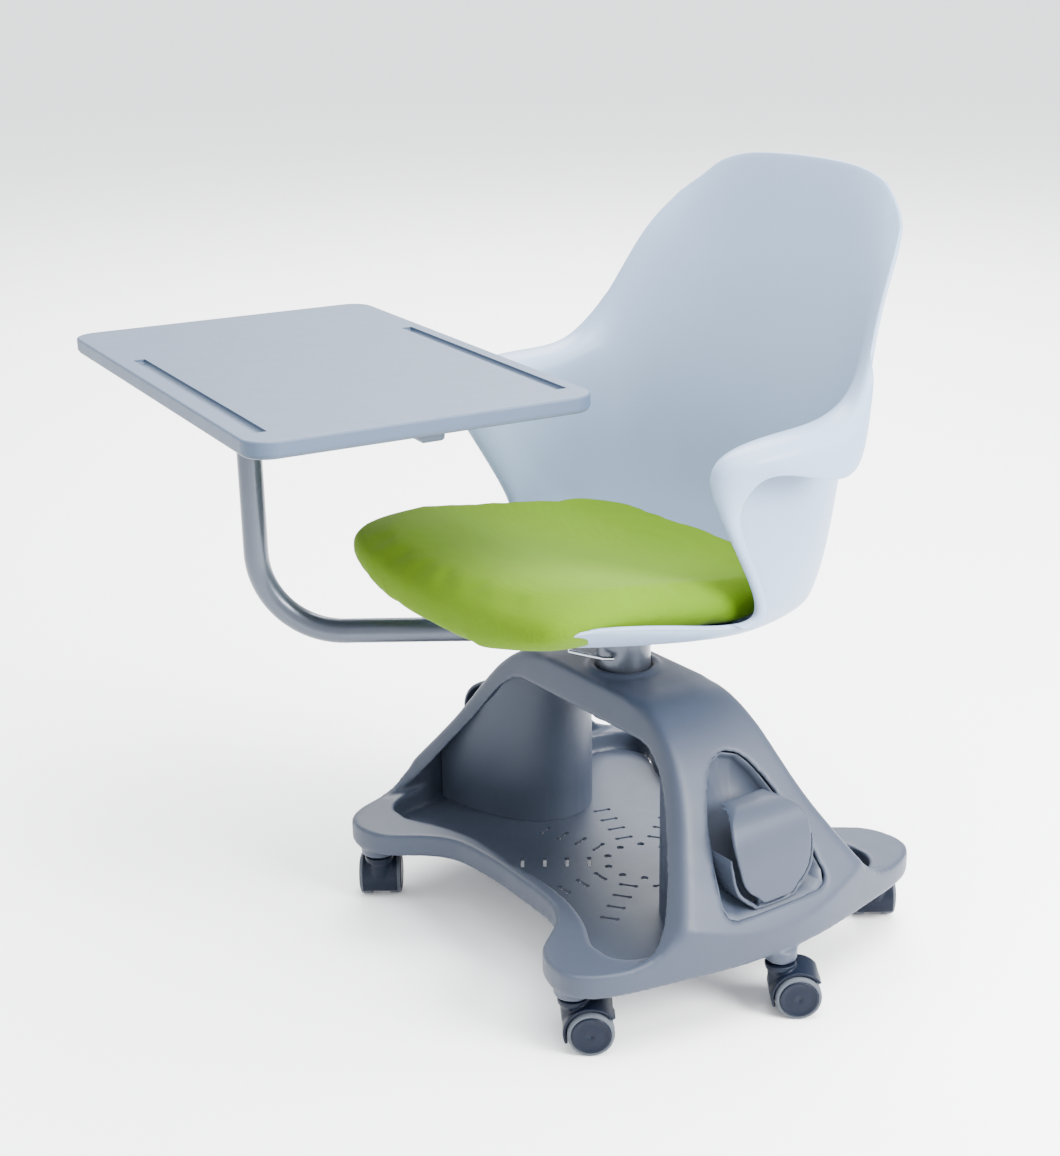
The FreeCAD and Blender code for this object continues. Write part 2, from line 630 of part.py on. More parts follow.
def full_rows(net):
    """Adds the mirror half to each row."""
    return [[V(-x, y, z) for x, y, z in reversed(row[1:])] + [V(x, y, z) for x, y, z in row] for row in net]


def offset_rows(rows, distance):
    """Moves each control point along the net's normal, towards the sitter."""
    out = []
    last_row, last_col = len(rows) - 1, len(rows[0]) - 1
    for i, row in enumerate(rows):
        new = []
        for j, p in enumerate(row):
            across = row[min(j + 1, last_col)] - row[max(j - 1, 0)]
            along = rows[min(i + 1, last_row)][j] - rows[max(i - 1, 0)][j]
            new.append(p + across.cross(along).normalize() * distance)
        out.append(new)
    return out


def net_surface(rows):
    """Clamped cubic surface over a net of control points."""
    def knots(n):
        return [0.0] + [float(k) for k in range(1, n - 3)] + [float(n - 3)], [4] + [1] * (n - 4) + [4]
    u_knots, u_mults = knots(len(rows))
    v_knots, v_mults = knots(len(rows[0]))
    surface = Part.BSplineSurface()
    surface.buildFromPolesMultsKnots(rows, u_mults, v_mults, u_knots, v_knots, False, False, 3, 3)
    return surface


def closed_skin(front, back):
    """Solid between two surfaces over the same net."""
    faces = [front.toShape(), back.toShape()]
    u0, u1, v0, v1 = front.bounds()
    for get, at in (("uIso", u0), ("uIso", u1), ("vIso", v0), ("vIso", v1)):
        faces.append(Part.makeRuledSurface(getattr(front, get)(at).toShape(), getattr(back, get)(at).toShape()))
    shell = Part.Shell(faces)
    shell.sewShape()
    solid = Part.makeSolid(Part.Shell(shell.Faces))
    if solid.Volume < 0:
        solid.reverse()
    return solid


def seat_shell():
    rows = full_rows(SHELL_NET)
    shell = closed_skin(net_surface(rows), net_surface(offset_rows(rows, SHELL_T)))
    holes = [disc(3.0, 360, 410, x, y) for x, y in SEAT_SCREWS]
    return shell.cut(Part.makeCompound(holes))


def seat_outline(half_width, front, back, corner):
    """Plan of the seat: full at the front corners, slightly waisted behind."""
    w, c = half_width, corner
    half = [(0, front), (w * 0.55, front + 5), (w - c * 0.35, front + c * 0.62), (w, front + c * 1.7),
            (w, (front + back) * 0.4), (w * 0.96, back - c * 1.2), (w * 0.8, back - c * 0.35), (w * 0.4, back)]
    points = [V(x, y, 0) for x, y in half] + [V(-x, y, 0) for x, y in reversed(half[1:])]
    curve = Part.BSplineCurve()
    curve.interpolate(points, PeriodicFlag=True)
    return Part.Face(Part.Wire(curve.toShape()))


def seat_board():
    board = seat_outline(130, -150, 80, 40)
    board.translate(V(0, 0, BOARD_Z))
    return board.extrude(V(0, 0, BOARD_T))


def seat_cushion():
    """Foam cushion on the board: its lower part sits in the shell, its upper part reaches the edges."""
    low = seat_outline(140, -165, 85, 40)
    low.translate(V(0, 0, BOARD_Z + BOARD_T))
    core = low.extrude(V(0, 0, LIP_Z - BOARD_Z - BOARD_T + 1))
    top = seat_outline(203, SEAT_FRONT, SEAT_BACK, 60)
    top.translate(V(0, 0, LIP_Z))
    pad = top.extrude(V(0, 0, 100))
    section = Part.makePolygon([V(-300, SEAT_FRONT - 5, LIP_Z - 1), V(-300, SEAT_FRONT - 5, CUSHION_FRONT),
                                V(-300, SEAT_BACK + 5, CUSHION_BACK), V(-300, SEAT_BACK + 5, LIP_Z - 1),
                                V(-300, SEAT_FRONT - 5, LIP_Z - 1)])
    pad = pad.common(Part.Face(section).extrude(V(600, 0, 0)))
    return core.fuse(pad).removeSplitter()


# ---------------------------------------------------------------- casters
def caster_parts():
    """One caster at the origin of its stem, trailing towards +X, axle along Y."""
    span = WHEEL_GAP / 2
    stem = Part.makeCylinder(STEM_R, 22, V(0, 0, FOOT_Z)).fuse(disc(4.0, CASTER_TOP - 14, FOOT_Z))
    centre = V(TRAIL, 0, WHEEL_R)
    core = Part.makeCylinder(18, WHEEL_GAP - 2, V(TRAIL, -span + 1, WHEEL_R), V(0, 1, 0))
    neck = disc(13, WHEEL_R + 4, CASTER_TOP).common(Part.makeBox(60, WHEEL_GAP - 2, 60, V(-30, -span + 1, 10)))
    collar = disc(13, CASTER_TOP - 5, CASTER_TOP)
    fender = Part.makeCylinder(WHEEL_R + 4, 2 * (span + WHEEL_W) + 1, centre - V(0, span + WHEEL_W + 0.5, 0),
                               V(0, 1, 0))
    fender = fender.cut(Part.makeCylinder(WHEEL_R + 1, 100, centre - V(0, 50, 0), V(0, 1, 0)))
    fender = fender.common(Part.makeBox(80, 80, 40, V(TRAIL - 36, -40, WHEEL_R + 7)))
    web = Part.makeCylinder(WHEEL_R + 4, WHEEL_GAP - 2, centre - V(0, span - 1, 0), V(0, 1, 0))
    web = web.common(Part.makeBox(80, 80, 48, V(TRAIL - 60, -40, WHEEL_R - 6)))
    hood = core.fuse([neck, collar, fender, web]).removeSplitter()
    hood = hood.cut(disc(4.0 + RUN, CASTER_TOP - 16, CASTER_TOP + 1))
    hood = hood.cut(Part.makeCylinder(AXLE_R, 80, centre - V(0, 40, 0), V(0, 1, 0)))
    reach = span + WHEEL_W - 3
    axle = Part.makeCylinder(AXLE_R, 2 * reach, centre - V(0, reach, 0), V(0, 1, 0))
    hubs, tyres = [], []
    for side in (-1, 1):
        inner_y = side * span if side > 0 else -span - WHEEL_W
        at = centre + V(0, inner_y, 0)
        hub = Part.makeCylinder(WHEEL_R - 4, WHEEL_W, at, V(0, 1, 0))
        hub = hub.cut(Part.makeCylinder(AXLE_R + RUN, WHEEL_W + 2, at - V(0, 1, 0), V(0, 1, 0)))
        hubs.append(hub)
        tyre = Part.makeCylinder(WHEEL_R, WHEEL_W, at, V(0, 1, 0))
        tyre = tyre.makeFillet(3.0, [e for e in tyre.Edges if e.Closed and e.Length > 150])
        tyres.append(tyre.cut(Part.makeCylinder(WHEEL_R - 4, WHEEL_W + 2, at - V(0, 1, 0), V(0, 1, 0))))
    return {"stem": stem, "hood": hood, "axle": axle, "hubs": Part.makeCompound(hubs),
            "tyres": Part.makeCompound(tyres)}


def main():
    os.makedirs("parts", exist_ok=True)
    save(base_moulding(), "base_moulding")
    save(tray_panel(), "tray_panel")
    for side, name in ((1, "left"), (-1, "right")):
        save(leg_lining(side), "leg_lining_" + name)
        save(cup_pocket(side), "cup_pocket_" + name)
        save(cup_flap(side), "cup_flap_" + name)
    save(Part.makeCompound([flap_pin(1), flap_pin(-1)]), "flap_pins")
    save(pillar(), "pillar")
    save(bush(308, 326), "lower_bush")
    save(bush(348, 366), "upper_bush")
    save(disc(PILLAR_R - 1, PILLAR_TOP, PILLAR_TOP + 3.6), "thrust_washer")
    save(spindle(), "seat_spindle")
    save(tube(29.0, SPINDLE_R, 307.0, 309.5), "retaining_ring")
    save(arm_sleeve(), "arm_sleeve")
    save(bail(), "arm_release_bail")
    save(arm_tube(), "arm_tube")
    save(post_bush(), "post_bush")
    save(post_cap(), "post_cap")
    save(tablet_top(), "tablet_top")
    save(tablet_pan(), "tablet_pan")
    save(tablet_grip(), "tablet_grip")
    save(tablet_bracket(), "tablet_bracket")
    save(tablet_screws(), "tablet_screws")
    save(seat_plate(), "seat_plate")
    save(seat_screws(), "seat_screws")
    save(seat_shell(), "seat_shell")
    save(seat_board(), "seat_board")
    save(seat_cushion(), "seat_cushion")
    pieces = caster_parts()
    stem = pieces.pop("stem")
    save(Part.makeCompound([moved(stem, x, y, 0) for x, y in CASTERS]), "caster_stems", 0)
    for (x, y), angle, name in zip(CASTERS, TRAIL_ANGLES, CASTER_NAMES):
        for piece, shape in pieces.items():
            save(moved(turned(shape, angle), x, y, 0), "caster_%s_%s" % (name, piece), 0)


main()
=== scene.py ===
"""Student desk chair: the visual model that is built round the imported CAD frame.  Metres, +Z up."""
import json
import math

import bmesh
import bpy
import numpy as np
from mathutils import Matrix, Vector


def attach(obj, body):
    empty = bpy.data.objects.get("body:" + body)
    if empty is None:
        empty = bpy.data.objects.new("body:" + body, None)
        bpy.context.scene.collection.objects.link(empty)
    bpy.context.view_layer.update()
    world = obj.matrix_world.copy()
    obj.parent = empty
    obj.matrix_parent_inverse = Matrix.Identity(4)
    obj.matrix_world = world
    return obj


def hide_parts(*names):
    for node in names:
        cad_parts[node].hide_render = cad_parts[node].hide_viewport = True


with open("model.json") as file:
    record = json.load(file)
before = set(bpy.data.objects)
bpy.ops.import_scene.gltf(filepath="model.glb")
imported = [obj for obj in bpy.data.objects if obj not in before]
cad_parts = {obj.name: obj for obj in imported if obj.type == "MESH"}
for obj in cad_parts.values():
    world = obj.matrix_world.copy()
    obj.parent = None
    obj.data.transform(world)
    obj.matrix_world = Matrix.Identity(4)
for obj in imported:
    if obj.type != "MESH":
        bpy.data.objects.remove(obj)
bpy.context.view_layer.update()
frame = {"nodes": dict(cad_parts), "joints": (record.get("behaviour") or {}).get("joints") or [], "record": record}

BOSS_H = 0.012      # height of the bosses over the casters, added to the heights of what stands on them


# ---------------------------------------------------------------- camera, floor and lights
EYE = (1.5676, -1.2124, 1.1053)
VIEW_AWAY = (-0.817, 0.577, 0.0)       # level direction of the view, and the picture's right-hand direction
VIEW_RIGHT = (0.577, 0.817, 0.0)
PITCH_DOWN = 18.99                     # degrees
ROLL = -0.86
LENS = 58.16
LENS_SHIFT = (-0.0144, -0.0040)
FLOOR_SIZE = 90
FLOOR_WHITE = 0.94
SKY_COLOUR = (0.95, 0.97, 1.0, 1)
SKY_STRENGTH = 2.3


def make_camera():
    """The photograph's eye point, with the view turned, pitched and rolled as it was there."""
    away, right = Vector(VIEW_AWAY), Vector(VIEW_RIGHT)
    pitch, roll = math.radians(PITCH_DOWN), math.radians(ROLL)
    look = away * math.cos(pitch) - Vector((0, 0, math.sin(pitch)))
    up = away * math.sin(pitch) + Vector((0, 0, math.cos(pitch)))
    x_axis = right * math.cos(roll) + up * math.sin(roll)
    y_axis = up * math.cos(roll) - right * math.sin(roll)
    data = bpy.data.cameras.new("camera")
    data.lens = LENS
    data.shift_x, data.shift_y = LENS_SHIFT
    camera = bpy.data.objects.new("camera", data)
    bpy.context.scene.collection.objects.link(camera)
    turn = Matrix((x_axis, y_axis, -look)).transposed().to_4x4()
    camera.matrix_world = Matrix.Translation(EYE) @ turn
    bpy.context.scene.camera = camera


def area_light(name, place, target, size, power):
    """Round lamp at place that points at target; size in metres, power in watts."""
    data = bpy.data.lights.new(name, "AREA")
    data.shape = "DISK"
    data.size = size
    data.energy = power
    light = bpy.data.objects.new(name, data)
    bpy.context.scene.collection.objects.link(light)
    light.location = place
    light.rotation_euler = (Vector(target) - Vector(place)).to_track_quat("-Z", "Y").to_euler()


def make_stage():
    """White floor under an even white sky, a key light from the near side and a lamp on the far floor."""
    bpy.ops.mesh.primitive_plane_add(size=FLOOR_SIZE, location=(0, 0, 0))
    floor = bpy.context.object
    floor.name = "floor"
    floor.data.materials.append(plain_material("floor_paint", (FLOOR_WHITE,) * 3, 0.9))
    world = bpy.data.worlds.new("studio")
    bpy.context.scene.world = world
    world.use_nodes = True
    world.node_tree.nodes["Background"].inputs["Color"].default_value = SKY_COLOUR
    world.node_tree.nodes["Background"].inputs["Strength"].default_value = SKY_STRENGTH
    area_light("top_light", (0.6, 0.1, 2.9), (0, 0, 0.4), 2.4, 250)
    area_light("side_light", (2.5, 0.9, 1.7), (0, 0, 0.3), 1.5, 300)
    area_light("far_light", (-2.6, 2.0, 3.4), (-2.2, 1.8, 0), 3.0, 420)
    area_light("left_light", (-0.9, -2.6, 1.4), (0, 0, 0.4), 1.6, 6)


# ---------------------------------------------------------------- materials
def node(tree, kind, **values):
    """Adds a shader node; values are its settings, or its inputs where a setting has no such name."""
    new = tree.nodes.new(kind)
    for key, value in values.items():
        if key in new.inputs:
            new.inputs[key].default_value = value
        else:
            setattr(new, key, value)
    return new


def plain_material(name, colour, rough):
    mat = bpy.data.materials.new(name)
    mat.use_nodes = True
    shader = mat.node_tree.nodes["Principled BSDF"]
    shader.inputs["Base Color"].default_value = (*colour, 1)
    shader.inputs["Roughness"].default_value = rough
    return mat


def moulded(name, colour, rough=0.42, grain=1400.0, bump=0.10, spread=0.05, metal=0.0, coat=0.0, wear=0.0,
            gloss=0.22):
    """Moulded or painted surface: fine spark-eroded grain, slow drift of tone and gloss, and a painted highlight
    that lightens sharp edges.
    """
    mat = plain_material(name, colour, rough)
    tree = mat.node_tree
    shader = tree.nodes["Principled BSDF"]
    shader.inputs["Metallic"].default_value = metal
    shader.inputs["Coat Weight"].default_value = coat
    shader.inputs["Coat Roughness"].default_value = 0.12
    shader.inputs["Specular IOR Level"].default_value = gloss
    place = node(tree, "ShaderNodeTexCoord")
    drift = node(tree, "ShaderNodeTexNoise", Scale=7.0, Detail=3.0)
    speck = node(tree, "ShaderNodeTexNoise", Scale=grain, Detail=2.0)
    smudge = node(tree, "ShaderNodeTexNoise", Scale=38.0, Detail=4.0, Roughness=0.65)
    for texture in (drift, speck, smudge):
        tree.links.new(place.outputs["Object"], texture.inputs["Vector"])

    tone = node(tree, "ShaderNodeValToRGB")
    tone.color_ramp.elements[0].position = 0.3
    tone.color_ramp.elements[1].position = 0.7
    tone.color_ramp.elements[0].color = (*[c * (1 - spread) for c in colour], 1)
    tone.color_ramp.elements[1].color = (*[min(1, c * (1 + spread)) for c in colour], 1)
    tree.links.new(drift.outputs["Fac"], tone.inputs["Fac"])
    speckle = node(tree, "ShaderNodeMix", data_type="RGBA", blend_type="MULTIPLY")
    speckle.inputs[0].default_value = 0.07
    tree.links.new(tone.outputs["Color"], speckle.inputs[6])
    tree.links.new(speck.outputs["Color"], speckle.inputs[7])
    result = speckle.outputs[2]
    # painted highlight: where the surface bends sharply (pointiness) the colour is lifted towards a paler tint, up
    # to the given strength
    if wear:
        edge = node(tree, "ShaderNodeNewGeometry")
        edge_highlight_mask = node(tree, "ShaderNodeMapRange")
        edge_highlight_mask.inputs["From Min"].default_value = 0.52
        edge_highlight_mask.inputs["From Max"].default_value = 0.60
        edge_highlight_mask.inputs["To Max"].default_value = wear
        tree.links.new(edge.outputs["Pointiness"], edge_highlight_mask.inputs["Value"])
        highlight_mix = node(tree, "ShaderNodeMix", data_type="RGBA")
        highlight_mix.inputs[7].default_value = (*[min(1, c * 1.5 + 0.02) for c in colour], 1)
        tree.links.new(edge_highlight_mask.outputs["Result"], highlight_mix.inputs[0])
        tree.links.new(result, highlight_mix.inputs[6])
        result = highlight_mix.outputs[2]
    tree.links.new(result, shader.inputs["Base Color"])

    sheen = node(tree, "ShaderNodeMapRange")
    sheen.inputs["To Min"].default_value = max(0.02, rough - 0.07)
    sheen.inputs["To Max"].default_value = rough + 0.09
    tree.links.new(smudge.outputs["Fac"], sheen.inputs["Value"])
    tree.links.new(sheen.outputs["Result"], shader.inputs["Roughness"])
    relief = node(tree, "ShaderNodeBump", Strength=bump, Distance=0.0004)
    tree.links.new(speck.outputs["Fac"], relief.inputs["Height"])
    tree.links.new(relief.outputs["Normal"], shader.inputs["Normal"])
    return mat


def woven(name, colour):
    """Fine upholstery cloth: crossed yarns, small slubs, a soft sheen."""
    mat = plain_material(name, colour, 0.86)
    tree = mat.node_tree
    shader = tree.nodes["Principled BSDF"]
    shader.inputs["Sheen Weight"].default_value = 0.06
    shader.inputs["Sheen Roughness"].default_value = 0.5
    shader.inputs["Sheen Tint"].default_value = (0.80, 0.95, 0.45, 1)
    shader.inputs["Specular IOR Level"].default_value = 0.08
    place = node(tree, "ShaderNodeTexCoord")
    heights = []
    for turn in ((0, 0, 0.785), (0, 0, -0.785), (0, 1.571, 0)):
        aim = node(tree, "ShaderNodeMapping")
        aim.inputs["Rotation"].default_value = turn
        yarn = node(tree, "ShaderNodeTexWave", Scale=170.0, Distortion=0.6, Detail=1.0)
        tree.links.new(place.outputs["Object"], aim.inputs["Vector"])
        tree.links.new(aim.outputs["Vector"], yarn.inputs["Vector"])
        heights.append(yarn.outputs["Fac"])
    first = node(tree, "ShaderNodeMath", operation="MULTIPLY")
    tree.links.new(heights[0], first.inputs[0])
    tree.links.new(heights[1], first.inputs[1])
    cloth = node(tree, "ShaderNodeMath", operation="MULTIPLY_ADD")
    tree.links.new(heights[2], cloth.inputs[0])
    cloth.inputs[1].default_value = 0.3
    tree.links.new(first.outputs[0], cloth.inputs[2])
    slub = node(tree, "ShaderNodeTexNoise", Scale=420.0, Detail=3.0)
    shade = node(tree, "ShaderNodeTexNoise", Scale=11.0, Detail=2.0)
    for texture in (slub, shade):
        tree.links.new(place.outputs["Object"], texture.inputs["Vector"])
    tone = node(tree, "ShaderNodeValToRGB")
    tone.color_ramp.elements[0].color = (*[c * 0.92 for c in colour], 1)
    tone.color_ramp.elements[1].color = (*[min(1, c * 1.05) for c in colour], 1)
    tree.links.new(cloth.outputs[0], tone.inputs["Fac"])
    mottle = node(tree, "ShaderNodeMix", data_type="RGBA", blend_type="MULTIPLY")
    mottle.inputs[0].default_value = 0.22
    tree.links.new(tone.outputs["Color"], mottle.inputs[6])
    tree.links.new(slub.outputs["Color"], mottle.inputs[7])
    drift = node(tree, "ShaderNodeMix", data_type="RGBA", blend_type="MULTIPLY")
    drift.inputs[0].default_value = 0.12
    tree.links.new(mottle.outputs[2], drift.inputs[6])
    tree.links.new(shade.outputs["Color"], drift.inputs[7])
    tree.links.new(drift.outputs[2], shader.inputs["Base Color"])
    relief = node(tree, "ShaderNodeBump", Strength=0.15, Distance=0.0004)
    tree.links.new(cloth.outputs[0], relief.inputs["Height"])
    fuzz = node(tree, "ShaderNodeBump", Strength=0.25, Distance=0.0006)
    tree.links.new(slub.outputs["Fac"], fuzz.inputs["Height"])
    tree.links.new(relief.outputs["Normal"], fuzz.inputs["Normal"])
    tree.links.new(fuzz.outputs["Normal"], shader.inputs["Normal"])
    return mat


def make_materials():
    """One material for each slot of the record."""
    return {
        # the base's edges get a painted highlight of strength 0.25
        "base_plastic": moulded("base_plastic", (0.030, 0.038, 0.057), 0.42, wear=0.25),
        "shell_plastic": moulded("shell_plastic", (0.215, 0.285, 0.400), 0.36, bump=0.05, spread=0.02),
        "cushion_fabric": woven("cushion_fabric", (0.080, 0.160, 0.0010)),
        "board": moulded("board", (0.10, 0.10, 0.11), 0.6),
        "tablet_plastic": moulded("tablet_plastic", (0.052, 0.076, 0.118), 0.44, grain=1800, bump=0.14,
                                  spread=0.02),
        "tablet_under": moulded("tablet_under", (0.060, 0.080, 0.110), 0.42, bump=0.08),
        "arm_paint": moulded("arm_paint", (0.060, 0.070, 0.090), 0.30, grain=2200, bump=0.06, metal=0.55,
                             coat=0.25),
        "steel_black": moulded("steel_black", (0.015, 0.016, 0.018), 0.38, metal=0.3),
        "bright_steel": moulded("bright_steel", (0.45, 0.47, 0.50), 0.26, metal=1.0),
        "bush_plastic": moulded("bush_plastic", (0.06, 0.06, 0.07), 0.4),
        "caster_plastic": moulded("caster_plastic", (0.004, 0.0065, 0.014), 0.36, bump=0.05, gloss=0.12),
        "tyre_rubber": moulded("tyre_rubber", (0.050, 0.058, 0.072), 0.62, grain=900, bump=0.2),
    }


# ---------------------------------------------------------------- mesh tools
def new_piece(name, vertices, faces):
    mesh = bpy.data.meshes.new(name)
    mesh.from_pydata([tuple(v) for v in vertices], [], [tuple(f) for f in faces])
    mesh.update()
    piece = bpy.data.objects.new(name, mesh)
    bpy.context.scene.collection.objects.link(piece)
    mesh.shade_smooth()
    return piece


def face_outwards(piece):
    make = bmesh.new()
    make.from_mesh(piece.data)
    bmesh.ops.recalc_face_normals(make, faces=make.faces)
    make.to_mesh(piece.data)
    make.free()


def bake(piece):
    """Applies the piece's modifiers."""
    bpy.context.view_layer.update()
    done = bpy.data.meshes.new_from_object(piece.evaluated_get(bpy.context.evaluated_depsgraph_get()))
    piece.modifiers.clear()
    old, piece.data = piece.data, done
    bpy.data.meshes.remove(old)
    return piece


def voxels(piece, size):
    mod = piece.modifiers.new("voxels", "REMESH")
    mod.mode = "VOXEL"
    mod.voxel_size = size
    mod.use_smooth_shade = True
    return bake(piece)


def copied(names, piece_name):
    """One new mesh from copies of some CAD nodes."""
    made = bmesh.new()
    for name in names:
        made.from_mesh(frame["nodes"][name].data)
    bmesh.ops.remove_doubles(made, verts=made.verts, dist=2e-6)
    mesh = bpy.data.meshes.new(piece_name)
    made.to_mesh(mesh)
    made.free()
    piece = bpy.data.objects.new(piece_name, mesh)
    bpy.context.scene.collection.objects.link(piece)
    return piece


def points_of(piece):
    out = np.empty(len(piece.data.vertices) * 3)
    piece.data.vertices.foreach_get("co", out)
    return out.reshape(-1, 3)


def set_points(piece, points):
    piece.data.vertices.foreach_set("co", points.ravel())
    piece.data.update()


def relax(piece, steps, weight=None):
    """Moves each vertex towards the mean of its neighbours; weight is how far, for each vertex."""
    points = points_of(piece)
    ends = np.empty(len(piece.data.edges) * 2, dtype=np.int64)
    piece.data.edges.foreach_get("vertices", ends)
    a, b = ends[0::2], ends[1::2]
    count = np.bincount(a, minlength=len(points)) + np.bincount(b, minlength=len(points))
    strength = 0.5 if weight is None else 0.5 * weight[:, None]
    for _ in range(steps):
        sums = [np.bincount(a, points[b, k], len(points)) + np.bincount(b, points[a, k], len(points))
                for k in range(3)]
        total = np.stack(sums, axis=1)
        points += strength * (total / count[:, None] - points)
    set_points(piece, points)


def lathe(profile, steps=48, axis="Z"):
    """Vertices and faces of a closed profile of (radius, height) points turned about an axis."""
    verts, faces = [], []
    n = len(profile)
    for s in range(steps):
        c, d = math.cos(2 * math.pi * s / steps), math.sin(2 * math.pi * s / steps)
        for r, h in profile:
            verts.append((r * c, r * d, h) if axis == "Z" else (r * c, h, r * d))
    for s in range(steps):
        t = (s + 1) % steps
        for k in range(n):
            m = (k + 1) % n
            faces.append((s * n + k, t * n + k, t * n + m, s * n + m))
    return verts, faces


def finish_piece(piece, body, slot, *nodes):
    """Gives the piece its material and body, and the CAD nodes that it stands for."""
    piece.data.materials.clear()
    piece.data.materials.append(MATERIALS[slot])
    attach(piece, body)
    if nodes:
        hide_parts(*nodes)
    return piece


# ---------------------------------------------------------------- shell
# Control points of the shell's outer surface in mm, from the middle to the sitter's left edge.  Rows run
# from the front of the seat to the top of the back; those that cross an arm roll over it and need more
# points than the others.
SEAT_ROWS = [
    [(0, -244, 410), (95, -244, 414), (150, -240, 425), (182, -230, 436), (198, -214, 444), (203, -206, 446),
     (205, -200, 447), (206, -194, 448)],
    [(0, -195, 392), (95, -195, 396), (150, -190, 410), (184, -180, 425), (201, -168, 434), (207, -160, 438),
     (209, -155, 440), (211, -150, 441)],
    [(0, -115, 382), (95, -115, 384), (155, -112, 394), (192, -105, 410), (209, -98, 420), (214, -92, 424),
     (216, -88, 427), (218, -84, 428)],
]
ARM_ROWS = [
    [(0, -35, 380), (95, -35, 380), (158, -32, 384), (198, -24, 396), (212, -8, 401), (217, 4, 403),
     (219, 12, 404), (220, 18, 403), (220.5, 22, 403), (221, 25, 402), (221, 27, 401), (220.5, 29, 400)],
    [(0, 40, 380), (95, 40, 380), (160, 42, 384), (202, 44, 396), (219, 38, 416), (222, 26, 432),
     (222, 12, 450), (222, 0, 464), (224, -9, 474), (226, -14, 480), (226, -14, 481), (225, -11, 481)],
    [(0, 105, 384), (95, 106, 385), (160, 104, 390), (204, 94, 408), (222, 58, 452), (222, 25, 490),
     (219, -5, 520), (219, -28, 535), (224, -46, 540), (229, -50, 538), (230, -46, 534), (228, -38, 530)],
    [(0, 130, 394), (94, 130, 396), (158, 122, 404), (203, 104, 420), (221, 66, 470), (220, 22, 512),
     (216, -20, 552), (218, -52, 575), (232, -76, 582), (244, -70, 580), (246, -56, 572), (237, -42, 558)],
    [(0, 152, 408), (92, 150, 410), (155, 140, 420), (199, 120, 446), (219, 80, 495), (217, 38, 540),
     (213, -5, 580), (215, -34, 602), (230, -65, 606), (250, -62, 604), (258, -52, 598), (255, -30, 590)],
    [(0, 174, 456), (88, 172, 458), (150, 160, 466), (198, 132, 490), (213, 95, 530), (213, 66, 565),
     (212, 38, 594), (215, 24, 609), (236, 10, 615), (258, 4, 614), (265, 2, 606), (264, 2, 588)],
    [(0, 186, 520), (85, 184, 522), (145, 174, 528), (192, 147, 545), (206, 122, 570), (211, 100, 592),
     (212, 84, 603), (216, 74, 611), (237, 62, 615), (258, 54, 613), (265, 50, 603), (265, 49, 573)],
    [(0, 198, 580), (82, 196, 582), (140, 186, 588), (186, 162, 600), (200, 145, 610), (207, 134, 617),
     (211, 127, 622), (218, 119, 626), (236, 107, 622), (254, 99, 613), (262, 96, 598), (263, 96, 566)],
    [(0, 210, 640), (80, 208, 642), (135, 199, 645), (178, 178, 650), (194, 164, 652), (204, 155, 654),
     (211, 149, 655), (218, 144, 655), (227, 138, 652), (234, 133, 646), (239, 129, 636), (241, 127, 624)],
]
BACK_ROWS = [
    [(0, 224, 710), (78, 222, 710), (130, 213, 710), (171.3, 195, 710), (191, 182, 708), (202, 174, 705),
     (210, 167, 700), (219, 158, 690)],
    [(0, 240, 775), (72, 238, 773), (121, 231, 770), (157.7, 218, 764), (178, 208, 759), (189, 201, 756),
     (197, 196, 753), (205, 191, 750)],
    [(0, 252, 826), (65, 251, 823), (110, 246, 817), (143, 239, 804.3), (163, 230, 790), (176, 224, 784),
     (185, 219, 780), (194, 214, 776)],
    [(0, 260, 849), (58, 259, 848), (100, 257, 844), (134.3, 253, 833), (155, 246, 816), (167, 240, 807),
     (175, 235, 800), (181, 230, 794)],
]
SHELL_ROWS, SHELL_COLUMNS = 190, 170   # samples along and across the surface
SHELL_T = 0.005


def clamped_basis(controls, samples):
    """Cubic basis over a clamped uniform knot vector: one row of weights for each sample."""
    knots = [0.0] * 4 + [float(k) for k in range(1, controls - 3)] + [float(controls - 3)] * 4
    at = np.linspace(0, controls - 3, samples)
    at[-1] -= 1e-9
    weights = np.array([(at >= knots[i]) & (at < knots[i + 1]) for i in range(len(knots) - 1)], float)
    for degree in (1, 2, 3):
        rows = []
        for i in range(len(knots) - 1 - degree):
            low, high = knots[i + degree] - knots[i], knots[i + degree + 1] - knots[i + 1]
            left = (at - knots[i]) / low if low else 0.0
            right = (knots[i + degree + 1] - at) / high if high else 0.0
            rows.append(left * weights[i] + right * weights[i + 1])
        weights = np.array(rows)
    return weights.T


def spread(row):
    """Adds a point midway between neighbours past the fourth, so that the row is as long as an arm's."""
    out = list(row[:4])
    for one, two in zip(row[3:], row[4:]):
        out += [tuple((a + b) / 2 for a, b in zip(one, two)), two]
    return out


